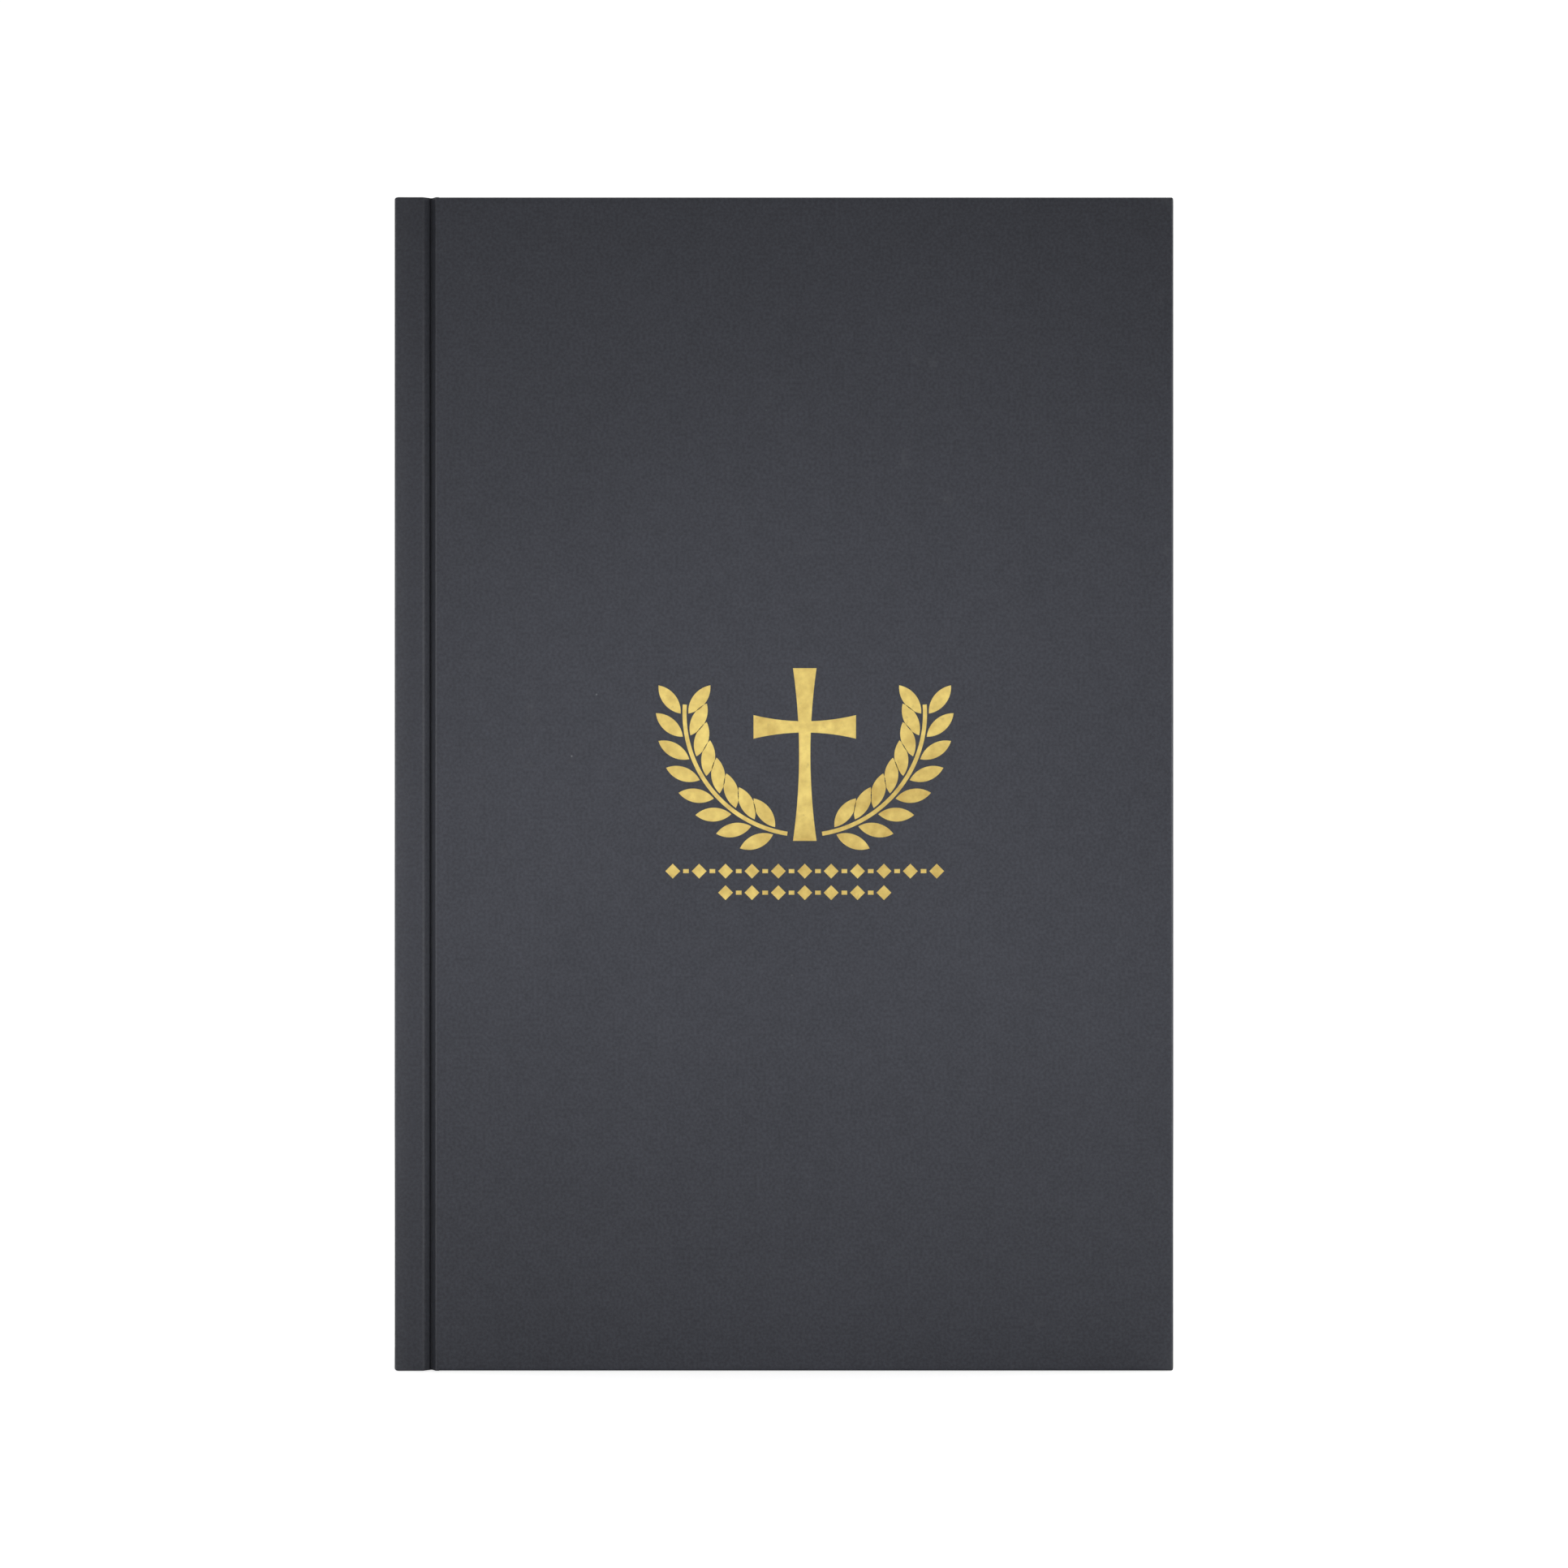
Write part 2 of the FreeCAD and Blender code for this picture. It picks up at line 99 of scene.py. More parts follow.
# corners of the joint groove: distance past the hinge, depth, rounding
GROOVE = ((-1.25, 0, 0.9), (-0.12, 1.15, 0.5), (0.07, 1.5, 0.12),
          (0.31, 1.5, 0.12), (0.50, 1.1, 0.5), (1.12, 0, 0.4))
GROOVE_MIDDLE = HINGE_AT + 0.15
GROOVE_REACH = 1.9        # how far from its middle the joint gets painted shade and duller roughness
EDGE_ROUND = 0.5
SPINE_ROUND = 0.5
CORNER_ROUND = 0.4
SEAM_AT = 3.6             # covering pieces meet on the flat beside the spine
BOARD_AT = HINGE_AT + 1.8
FOIL_BED = 0.06           # depth to which the foil is sunk in
KNOCK_AT = (150.3, 208.9)    # a small dimple beside the front cover's fore-edge: s, z
KNOCK_REACH = 3.2
KNOCK_DEPTH = 0.24
KNOCK_PITCH = 0.4         # between rows of points across the dimple

# stretches, in distance from the spine, over which the endpapers' and the leaves' points lie close together
JOINT_BEND = (6.3, 8.9)
LEAF_BEND = (HINGE_AT, HINGE_AT + 24.0)

# how finely the covering is divided
JOINT_PITCH = 0.35
SPINE_PITCH = 0.6
FACE_PITCH = 3.0
RIM_STEPS = 4
ARC_STEP = math.radians(11)

SHARP = math.radians(38)  # edges that turn more than this are shaded as edges


def row(side, s, h, z):
    """A point in the row frame, in metres."""
    return Vector((spine_low.x + s, side * (HALF - h), z)) * MM


# ---- building meshes ----

def link(name, verts, faces):
    """A mesh object from points in metres, with its normals turned outwards."""
    mesh = bpy.data.meshes.new(name)
    mesh.from_pydata([tuple(v) for v in verts], [], faces)
    bm = bmesh.new()
    bm.from_mesh(mesh)
    bmesh.ops.remove_doubles(bm, verts=bm.verts, dist=1e-7)
    bmesh.ops.dissolve_degenerate(bm, edges=bm.edges, dist=1e-8)
    bmesh.ops.recalc_face_normals(bm, faces=bm.faces)
    bm.to_mesh(mesh)
    bm.free()
    piece = bpy.data.objects.new(name, mesh)
    bpy.context.scene.collection.objects.link(piece)
    return piece


def smooth(piece):
    """Shades a piece smooth, apart from its sharp edges."""
    piece.data.shade_smooth()
    piece.data.set_sharp_from_angle(angle=SHARP)


def keep_places(piece):
    """Stores each point's place at rest, for patterns to follow."""
    places = piece.data.attributes.new("rest_place", "FLOAT_VECTOR", "POINT")
    values = np.array([v.co for v in piece.data.vertices], np.float32)
    places.data.foreach_set("vector", values.ravel())


def walk(line, pitch, hand):
    """Samples a line of (s, h, radius) corners as (point, normal) pairs.

    The normals are on the line's left for hand 1, on its right for hand -1.
    """
    points = [np.array(corner[:2], float) for corner in line]
    samples = []

    def add(point, heading):
        normal = hand * np.array((-heading[1], heading[0]))
        if not samples or np.linalg.norm(samples[-1][0] - point) > 1e-6:
            samples.append((point, normal))

    def straight(start, end):
        run = end - start
        length = np.linalg.norm(run)
        count = max(1, math.ceil(length / pitch))
        for k in range(count + 1):
            add(start + run * k / count, run / length)

    cursor = points[0]
    for i in range(1, len(points) - 1):
        before = (points[i] - points[i - 1]) / np.linalg.norm(points[i] - points[i - 1])
        after = (points[i + 1] - points[i]) / np.linalg.norm(points[i + 1] - points[i])
        turn = math.atan2(before[0] * after[1] - before[1] * after[0], before @ after)
        radius = line[i][2]
        reach = radius * math.tan(abs(turn) / 2)
        start = points[i] - before * reach
        straight(cursor, start)
        centre = start + math.copysign(radius, turn) * np.array((-before[1], before[0]))
        steps = max(3, math.ceil(abs(turn) / ARC_STEP))
        for k in range(1, steps + 1):
            c, s = math.cos(turn * k / steps), math.sin(turn * k / steps)
            spin = np.array(((c, -s), (s, c)))
            add(centre + spin @ (start - centre), spin @ before)
        cursor = points[i] + after * reach
    straight(cursor, points[-1])
    return samples


def shell(name, side, columns, inset, stations):
    """A closed skin: columns are (outer, inner) points in plan, carried from tail to head with rounded rims.

    inset(s) says how much shorter the skin is at a column, at both ends.
    """
    rims = [k / RIM_STEPS * math.pi / 2 for k in range(RIM_STEPS + 1)]
    rings = [("tail", angle) for angle in rims]
    rings += [("middle", z) for z in stations]
    rings += [("head", angle) for angle in reversed(rims)]
    verts = []
    for part, value in rings:
        for outer, inner in columns:
            across = inner - outer
            thick = np.linalg.norm(across)
            if part == "middle":
                pull = 0.0
                z = value
            else:
                radius = min(EDGE_ROUND, 0.46 * thick)
                lift = inset(outer[0]) + radius * (1 - math.cos(value))
                pull = radius * (1 - math.sin(value)) / thick
                z = lift if part == "tail" else HEIGHT - lift
            for share in (pull, 1 - pull):
                s, h = outer + across * share
                verts.append(row(side, s, h, z))
    wide = len(columns)

    def at(ring, column, inner):
        return (ring * wide + column) * 2 + inner

    faces = []
    last = len(rings) - 1
    for r in range(last):
        for c in range(wide - 1):
            faces.append((at(r, c, 0), at(r, c + 1, 0), at(r + 1, c + 1, 0), at(r + 1, c, 0)))
            faces.append((at(r, c, 1), at(r + 1, c, 1), at(r + 1, c + 1, 1), at(r, c + 1, 1)))
        for c in (0, wide - 1):
            faces.append((at(r, c, 0), at(r + 1, c, 0), at(r + 1, c, 1), at(r, c, 1)))
    for r in (0, last):
        for c in range(wide - 1):
            faces.append((at(r, c, 0), at(r, c + 1, 0), at(r, c + 1, 1), at(r, c, 1)))
    return link(name, verts, faces)


def spread(low, high):
    """Stations from low to high a face pitch apart, with one close to each end to hold the flat between."""
    margin = 0.5
    count = max(1, round((high - low - 2 * margin) / FACE_PITCH))
    inner = [low + margin + (high - low - 2 * margin) * k / count for k in range(count + 1)]
    return [low] + inner + [high]


def corner_inset(s):
    """How much shorter a board is near its fore-edge, for its rounded corners."""
    past = max(0.0, s - (WIDTH - CORNER_ROUND))
    return CORNER_ROUND - math.sqrt(max(0.0, CORNER_ROUND ** 2 - past ** 2))


def press_foil(piece, node, outwards):
    """Sinks the foil's beds into a covering: the foil's own outline, cut down to its back face."""
    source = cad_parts[node].data
    outwards = Vector(outwards)
    middle = max(v.co @ outwards for v in source.vertices) - FOIL_BED * MM / 2
    verts = [v.co + outwards * (MM if v.co @ outwards > middle else 0) for v in source.vertices]
    cutter = link("cutter", verts, [tuple(face.vertices) for face in source.polygons])
    cut = piece.modifiers.new("foil_bed", "BOOLEAN")
    cut.operation = "DIFFERENCE"
    cut.solver = "MANIFOLD"
    cut.object = cutter
    evaluated = piece.evaluated_get(bpy.context.evaluated_depsgraph_get())
    mesh = bpy.data.meshes.new_from_object(evaluated)
    piece.modifiers.clear()
    piece.data = mesh
    bpy.data.objects.remove(cutter)


def mark(piece, name, measure):
    """Stores a number for each point, 0 to 1, such as how much rubbing and painted highlight it gets."""
    values = np.array([measure(v.co) for v in piece.data.vertices], np.float32)
    piece.data.attributes.new(name, "FLOAT", "POINT").data.foreach_set("value", values)


def bend(piece):
    """Bakes a piece's placement into its mesh and leaves it where it is."""
    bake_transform(piece)


# ---- materials ----

PER_METRE = math.pi / 10     # a wave texture's scale for one band a metre


class Nodes:
    """A material under construction: each call adds a node and links its inputs."""

    def __init__(self, name):
        self.material = bpy.data.materials.new(name)
        self.material.use_nodes = True
        self.tree = self.material.node_tree
        self.tree.nodes.clear()

    def add(self, kind, inputs=None, **settings):
        """A node of a kind, with its settings, and its inputs set to numbers or linked."""
        node = self.tree.nodes.new("ShaderNode" + kind)
        for key, value in settings.items():
            setattr(node, key, value)
        for key, value in (inputs or {}).items():
            socket = node.inputs[key]
            if isinstance(value, bpy.types.NodeSocket):
                self.tree.links.new(value, socket)
            else:
                socket.default_value = value
        return node

    def places(self):
        """Places at rest, as stored on the piece."""
        return self.add("Attribute", attribute_name="rest_place").outputs["Vector"]

    def object_places(self):
        """Places in the object's own space."""
        return self.add("TexCoord").outputs["Object"]

    def scaled(self, vector, scale):
        node = self.add("VectorMath", {0: vector, 1: scale}, operation="MULTIPLY")
        return node.outputs["Vector"]

    def noise(self, vector, scale, detail=2.0, rough=0.5):
        inputs = {"Vector": vector, "Scale": scale, "Detail": detail, "Roughness": rough}
        return self.add("TexNoise", inputs).outputs["Fac"]

    def cells(self, vector, scale):
        """Distance to the nearest of many scattered points."""
        return self.add("TexVoronoi", {"Vector": vector, "Scale": scale}).outputs["Distance"]

    def maths(self, operation, a, b=0.0, clamp=False):
        return self.add("Math", {0: a, 1: b}, operation=operation, use_clamp=clamp).outputs[0]

    def ramp(self, value, low, high, to_low=0.0, to_high=1.0):
        inputs = {"Value": value, "From Min": low, "From Max": high, "To Min": to_low, "To Max": to_high}
        return self.add("MapRange", inputs).outputs["Result"]

    def mix(self, share, a, b):
        """A colour between two, each a socket or three numbers."""
        node = self.add("Mix", {0: share}, data_type="RGBA")
        for index, colour in ((6, a), (7, b)):
            if isinstance(colour, bpy.types.NodeSocket):
                self.tree.links.new(colour, node.inputs[index])
            else:
                node.inputs[index].default_value = (*colour, 1)
        return node.outputs[2]

    def bump(self, height, strength, distance, below=None):
        """A normal from a height, on top of the normal below it."""
        inputs = {"Height": height, "Strength": strength, "Distance": distance}
        if below is not None:
            inputs["Normal"] = below
        return self.add("Bump", inputs).outputs["Normal"]

    def finish(self, colour, roughness, normal=None, **extra):
        """The surface itself; extra inputs have _ for a space."""
        inputs = {"Roughness": roughness}
        inputs.update({key.replace("_", " "): value for key, value in extra.items()})
        if normal is not None:
            inputs["Normal"] = normal
        shader = self.add("BsdfPrincipled", inputs)
        if isinstance(colour, bpy.types.NodeSocket):
            self.tree.links.new(colour, shader.inputs["Base Color"])
        else:
            shader.inputs["Base Color"].default_value = (*colour, 1)
        self.add("OutputMaterial", {"Surface": shader.outputs[0]}, is_active_output=True)
        return self.material


def covering_material():
    """Charcoal soft-touch covering: a fine grain, faint scratches and smudges, dust, rubbed corners and
    ends, a painted highlight along its edges, and painted shade in the joint.
    """
    n = Nodes("charcoal_covering")
    at = n.places()
    cloudy = n.noise(at, 14.0, 3.0, 0.55)
    mottled = n.noise(at, 320.0, 4.0, 0.6)
    grain = n.noise(at, 1700.0, 2.0, 0.6)
    streaked = n.noise(n.scaled(at, (90.0, 90.0, 1000.0)), 1.0, 3.0, 0.6)
    dark, light = (0.0125, 0.0140, 0.0204), (0.0308, 0.0332, 0.0442)
    tone = n.maths("ADD", n.ramp(cloudy, 0.3, 0.7, 0.0, 0.2), n.ramp(mottled, 0.36, 0.64, 0.0, 0.18), True)
    tone = n.maths("ADD", tone, n.ramp(grain, 0.36, 0.64, 0.0, 0.62), True)
    colour = n.mix(tone, dark, light)
    streaks = n.maths("MULTIPLY", n.ramp(streaked, 0.64, 0.80), n.ramp(cloudy, 0.45, 0.6), True)
    colour = n.mix(n.maths("MULTIPLY", streaks, 0.18), colour, (0.060, 0.062, 0.070))
    smudged = n.ramp(n.noise(at, 190.0, 4.0, 0.65), 0.64, 0.76)
    smudges = n.maths("MULTIPLY", smudged, n.ramp(cloudy, 0.52, 0.60), True)
    colour = n.mix(n.maths("MULTIPLY", smudges, 0.22), colour, (0.070, 0.070, 0.076))
    specks = n.ramp(n.cells(at, 210.0), 0.05, 0.02)
    chosen = n.ramp(n.noise(at, 95.0, 1.0), 0.66, 0.70)
    dust = n.maths("MULTIPLY", specks, chosen, True)
    colour = n.mix(n.maths("MULTIPLY", dust, 0.6), colour, (0.16, 0.16, 0.17))
    # lighter grey, in patches: rubbing at the corners and at head and tail, and a painted highlight along
    # the rounded edges
    rubbing_and_highlight_share = n.add("Attribute", attribute_name="rubbing_and_highlight").outputs["Fac"]
    patchy = n.maths("MULTIPLY", rubbing_and_highlight_share, n.ramp(n.noise(at, 260.0, 3.0, 0.7), 0.35, 0.7), True)
    colour = n.mix(n.maths("MULTIPLY", patchy, 0.55), colour, (0.115, 0.118, 0.128))
    # painted shade: the covering darker in the joint groove and, a little, over the spine; the same mask
    # also makes it rougher there
    painted_shade_and_dulling = n.add("Attribute", attribute_name="painted_shade_and_dulling").outputs["Fac"]
    colour = n.mix(n.maths("MULTIPLY", painted_shade_and_dulling, 0.5), colour, (0.0110, 0.0120, 0.0165))
    rough = n.ramp(n.maths("ADD", cloudy, n.maths("MULTIPLY", mottled, 0.35)), 0.4, 0.95, 0.47, 0.57)
    rough = n.maths("ADD", rough, n.maths("MULTIPLY", painted_shade_and_dulling, 0.14))
    waves = n.bump(n.noise(at, 55.0, 2.0), 0.03, 0.0006)
    fine = n.bump(n.maths("ADD", grain, n.maths("MULTIPLY", mottled, 0.3)), 0.32, 0.00006, waves)
    normal = n.bump(streaked, 0.06, 0.00005, fine)
    return n.finish(colour, rough, normal, Specular_IOR_Level=0.42, Sheen_Weight=0.06, Sheen_Roughness=0.4)


def foil_material():
    """Satin gold foil: a warm metal with soft brightness changes and fine brushed texture."""
    n = Nodes("gold_foil")
    at = n.object_places()
    soft = n.maths("ADD", n.maths("MULTIPLY", n.noise(at, 42.0, 1.0), 0.5),
                   n.maths("MULTIPLY", n.noise(at, 420.0, 3.0, 0.6), 0.5))
    fine = n.noise(at, 1500.0, 3.0, 0.6)
    rubbed = n.ramp(n.noise(at, 700.0, 4.0, 0.7), 0.62, 0.74)
    colour = n.mix(n.ramp(soft, 0.35, 0.65), (0.66, 0.46, 0.135), (0.98, 0.77, 0.25))
    colour = n.mix(n.maths("MULTIPLY", rubbed, 0.35), colour, (0.40, 0.28, 0.11))
    rough = n.ramp(n.maths("ADD", soft, n.maths("MULTIPLY", fine, 0.4)), 0.4, 1.0, 0.30, 0.42)
    wrinkled = n.bump(n.noise(at, 650.0, 2.0, 0.5), 0.5, 0.00008)
    normal = n.bump(fine, 0.25, 0.00004, wrinkled)
    return n.finish(colour, rough, normal, Metallic=1.0)


def paper_material(name, dark, light, printed=False, edges=False, frozen=True):
    """Thin paper: fine fibres, page lines on its edges, and grey blocks of unreadable print."""
    n = Nodes(name)
    at = n.places() if frozen else n.object_places()
    fibres = n.noise(at, 900.0, 4.0, 0.6)
    cloudy = n.noise(at, 30.0, 2.0)
    tone = n.maths("ADD", n.maths("MULTIPLY", fibres, 0.5), n.maths("MULTIPLY", cloudy, 0.5))
    height = fibres
    if edges:
        lines = n.noise(n.scaled(at, (2.5, 9000.0, 2.5)), 1.0, 3.0, 0.75)
        bands = n.noise(n.scaled(at, (1.0, 700.0, 1.0)), 1.0, 2.0, 0.6)
        tone = n.maths("ADD", n.maths("MULTIPLY", tone, 0.3),
                       n.maths("ADD", n.maths("MULTIPLY", lines, 0.6), n.maths("MULTIPLY", bands, 0.10)))
        height = lines
    colour = n.mix(n.ramp(tone, 0.32, 0.66), dark, light)
    if printed:
        colour = print_lines(n, at, colour)
    normal = n.bump(height, 0.25, 0.00003)
    return n.finish(colour, n.ramp(fibres, 0.3, 0.7, 0.62, 0.78), normal, Specular_IOR_Level=0.3)


def print_lines(n, at, paper):
    """Two columns of broken grey lines, with no letters in them."""
    parts = n.add("SeparateXYZ", {0: at})
    x, z = parts.outputs[0], parts.outputs[2]

    def between(value, low, high):
        above = n.maths("GREATER_THAN", value, low * MM)
        return n.maths("MULTIPLY", above, n.maths("LESS_THAN", value, high * MM))

    gutter, margin, gap, foot, head = 15.0, 11.0, 5.0, 13.0, 15.0
    line_pitch = 3.1
    left = spine_low.x + HINGE_AT + gutter
    right = spine_low.x + LEAF_END - margin
    middle = (left + right) / 2
    columns = n.maths("ADD", between(x, left, middle - gap / 2), between(x, middle + gap / 2, right))
    body = n.maths("MULTIPLY", columns, between(z, LEAF_FOOT + foot, LEAF_HEAD - head))
    line = n.maths("DIVIDE", z, line_pitch * MM)
    inked = n.maths("LESS_THAN", n.maths("FRACT", line), 0.46)
    place = n.add("CombineXYZ", {0: n.maths("MULTIPLY", x, 520.0), 1: n.maths("FLOOR", line)})
    words = n.ramp(n.noise(place.outputs[0], 1.0, 1.0), 0.36, 0.40)
    ink = n.maths("MULTIPLY", n.maths("MULTIPLY", body, inked), words)
    return n.mix(n.maths("MULTIPLY", ink, 0.42), paper, (0.10, 0.095, 0.09))


def board_material():
    """Grey board: flecked, compacted fibres."""
    n = Nodes("grey_board")
    at = n.object_places()
    flecks = n.ramp(n.noise(at, 1300.0, 3.0, 0.7), 0.35, 0.7)
    colour = n.mix(flecks, (0.24, 0.225, 0.20), (0.40, 0.38, 0.34))
    return n.finish(colour, 0.85, n.bump(flecks, 0.3, 0.00008))


def woven_material(name, colour, gap, threads, depth):
    """Plain weave of a given number of threads per metre."""
    n = Nodes(name)
    at = n.object_places()
    waves = [n.add("TexWave", {"Vector": at, "Scale": threads * PER_METRE, "Distortion": 0.4},
                   bands_direction=way).outputs["Fac"] for way in ("Y", "Z")]
    weave = n.maths("MAXIMUM", waves[0], waves[1])
    shade = n.mix(n.ramp(weave, 0.4, 0.8), gap, colour)
    return n.finish(shade, 0.8, n.bump(weave, 0.5, depth))


def stripe_material(name, first, second, stripes):
    """Silk wrapped round a headband in two colours, leaning a little."""
    n = Nodes(name)
    at = n.places()
    lean = n.scaled(at, (0.35, 1.0, 0.35))
    wave = n.add("TexWave", {"Vector": lean, "Scale": stripes * PER_METRE, "Distortion": 0.15},
                 bands_direction="Y", wave_profile="SIN").outputs["Fac"]
    threads = n.add("TexWave", {"Vector": lean, "Scale": stripes * 4 * PER_METRE},
                    bands_direction="Y").outputs["Fac"]
    colour = n.mix(n.ramp(wave, 0.44, 0.56), first, second)
    # painted shade: darker in the grooves between the turns of silk
    shade = n.mix(n.maths("MULTIPLY", n.ramp(threads, 0.3, 0.0), 0.5), colour, (0.02, 0.018, 0.015))
    return n.finish(shade, 0.45, n.bump(threads, 0.6, 0.00012), Sheen_Weight=0.3)


covering = covering_material()
foil = foil_material()
page_paper = paper_material("bible_paper", (0.56, 0.50, 0.39), (0.86, 0.81, 0.70), printed=True, edges=True)
end_paper = paper_material("endpaper", (0.70, 0.66, 0.56), (0.83, 0.80, 0.71))
kraft = paper_material("kraft_paper", (0.30, 0.18, 0.09), (0.46, 0.30, 0.16), frozen=False)
headband_silk = stripe_material("headband_silk", (0.70, 0.62, 0.44), (0.020, 0.022, 0.030), 620.0)
mull_weave = woven_material("mull_weave", (0.78, 0.74, 0.63), (0.45, 0.36, 0.22), 1400.0, 0.0001)
thread_twist = woven_material("linen_thread", (0.80, 0.76, 0.64), (0.50, 0.45, 0.34), 3000.0, 0.00005)
grey_board = board_material()


def dress(piece, material):
    """Gives a piece one material."""
    piece.data.materials.clear()
    piece.data.materials.append(material)


# ---- the covering ----

def cover_columns():
    """The plan of a cover's skin from the seam beside the spine, through the groove, to the fore-edge."""
    joint = [(SEAM_AT, 0, 0)] + [(HINGE_AT + s, h, r) for s, h, r in GROOVE] + [(BOARD_AT, 0, 0)]
    columns = [(point, point + normal * CLOTH) for point, normal in walk(joint, JOINT_PITCH, 1)]
    face_end = WIDTH - EDGE_ROUND
    near_edge = [face_end - 0.5 * k for k in range(8, -1, -1)]
    for s in spread(BOARD_AT, near_edge[0])[:-1] + near_edge:
        columns.append((np.array((s, 0.0)), np.array((s, BOARD_IN))))
    steps = 5
    for k in range(1, steps + 1):
        angle = k / steps * math.pi / 2
        s = face_end + EDGE_ROUND * math.sin(angle)
        h = EDGE_ROUND * (1 - math.cos(angle))
        columns.append((np.array((s, h)), np.array((s, BOARD_IN - h))))
    return columns


def ease(share):
    """A share from 0 to 1, with a soft start and end."""
    share = max(0.0, share)
    return share * share * (3 - 2 * share)


def knock(piece, side):
    """A small shallow dimple in a cover's outer face, longer than it is wide."""
    narrow = 1.8              # times as long as wide
    skin = 1.0                # points deeper than this aren't on the outer face
    s, z = KNOCK_AT
    centre = row(side, s, 0, z)
    for v in piece.data.vertices:
        apart = (v.co - centre) / MM
        near = 1 - math.hypot(apart.x * narrow, apart.z) / KNOCK_REACH
        if abs(apart.y) < skin:
            v.co.y -= side * KNOCK_DEPTH * MM * ease(near)


def cover_rubbing_and_highlight(co):
    """Painted highlight along a board's rounded edges, and real rubbing, more, at its corners."""
    s, z = co.x / MM - spine_low.x, co.z / MM
    edge = min(WIDTH - s, z, HEIGHT - z)
    corner = math.hypot(WIDTH - s, min(z, HEIGHT - z))
    # painted highlight along the board's rounded edges; the corner term is rubbing
    rim = max(0.0, 1 - edge / 0.9) * (s > SEAM_AT + 1)
    return min(1.0, 0.10 * rim + 0.4 * max(0.0, 1 - corner / 5.0))


def joint_shade_and_dulling(co):
    """Painted shade that darkens the covering, with duller roughness: most in the joint groove, a little
    over the spine.
    """
    s = co.x / MM - spine_low.x
    # a little painted shade over the whole spine
    over_spine = 0.3 if s < GROOVE_MIDDLE else 0.0
    return max(over_spine, ease(1 - abs(s - GROOVE_MIDDLE) / GROOVE_REACH))


def cover_piece(side, word):
    """The covering of one cover, running across its joint groove."""
    stations = spread(EDGE_ROUND + CORNER_ROUND, HEIGHT - EDGE_ROUND - CORNER_ROUND)
    if side == FRONT:
        near = [KNOCK_AT[1] + KNOCK_PITCH * k for k in range(-9, 10)]
        clear = KNOCK_REACH + 1.0
        stations = sorted([z for z in stations if abs(z - KNOCK_AT[1]) > clear] + near)
    piece = shell(f"{word}_covering", side, cover_columns(), corner_inset, stations)
    if side == FRONT:
        knock(piece, side)
        press_foil(piece, "cover_foil_ornament", (0, -1, 0))
    smooth(piece)
    mark(piece, "rubbing_and_highlight", cover_rubbing_and_highlight)
    mark(piece, "painted_shade_and_dulling", joint_shade_and_dulling)
    keep_places(piece)
    dress(piece, covering)
    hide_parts(f"{word}_cover_cloth")
    bend(piece)


def spine_columns():
    """The plan of the spine's skin, round the spine board, from seam to seam."""
    flap = [(SEAM_AT, 0, 0), (0, 0, SPINE_ROUND), (0, 2 * HALF, SPINE_ROUND), (SEAM_AT, 2 * HALF, 0)]
    columns = []
    for point, normal in walk(flap, SPINE_PITCH, -1):
        depth = min(point[1], 2 * HALF - point[1])
        inner = point + normal * CLOTH
        if point[0] < SPINE_IN + CLOTH:
            inner = np.array((SPINE_IN + CLOTH, min(max(point[1], CLOTH), 2 * HALF - CLOTH)))
        if depth > 0 or point[0] >= SPINE_IN + CLOTH:
            columns.append((point, inner))
    return columns


def spine_rubbing_and_highlight(co):
    """Painted highlight along the spine's long edges, and rubbing at head and tail."""
    s, z = co.x / MM - spine_low.x, co.z / MM
    corner = math.hypot(s, HALF - abs(co.y) / MM)
    end = min(z, HEIGHT - z)
    # painted highlight along the spine's long edges; rubbing at head and tail
    return min(1.0, max(0.0, 1 - corner / 1.1) * 0.2 + max(0.0, 1 - end / 1.2) * 0.35)


def spine_piece():
    """The covering of the spine, with its flat beside each joint."""
    stations = spread(EDGE_ROUND + CORNER_ROUND, HEIGHT - EDGE_ROUND - CORNER_ROUND)
    piece = shell("spine_covering", FRONT, spine_columns(), lambda s: 0.0, stations)
    press_foil(piece, "spine_foil_ornament", (-1, 0, 0))
    smooth(piece)
    mark(piece, "rubbing_and_highlight", spine_rubbing_and_highlight)
    mark(piece, "painted_shade_and_dulling", joint_shade_and_dulling)
    keep_places(piece)
    dress(piece, covering)
    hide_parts("spine_cloth")
    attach(piece, BLOCK)


# ---- leaves ----

def even(low, high, count):
    """A run of even steps from low to high, both ends included."""
    return [low + (high - low) * k / count for k in range(count + 1)]


def sheet_columns():
    """Distances from the spine at which a leaf has points: close over LEAF_BEND, wide beyond it."""
    start, end = LEAF_BEND
    return [FOLDS_AT, (FOLDS_AT + start) / 2] + even(start, end, 16) + even(end, LEAF_END, 8)[1:]


def slabs(name, side, sheets):
    """Closed thin sheets in one mesh. Each is (columns, h0, h1, foot, head, end)."""
    verts, faces = [], []
    for columns, h0, h1, foot, head, end in sheets:
        base = len(verts)
        places = columns[:-1] + [end]
        for s in places:
            verts += [row(side, s, h, z) for h, z in ((h0, foot), (h1, foot), (h1, head), (h0, head))]
        for c in range(len(places) - 1):
            a = base + 4 * c
            faces += [(a + k, a + (k + 1) % 4, a + 4 + (k + 1) % 4, a + 4 + k) for k in range(4)]
        last = base + 4 * (len(places) - 1)
        faces += [tuple(first + k for k in range(4)) for first in (base, last)]
    return link(name, verts, faces)


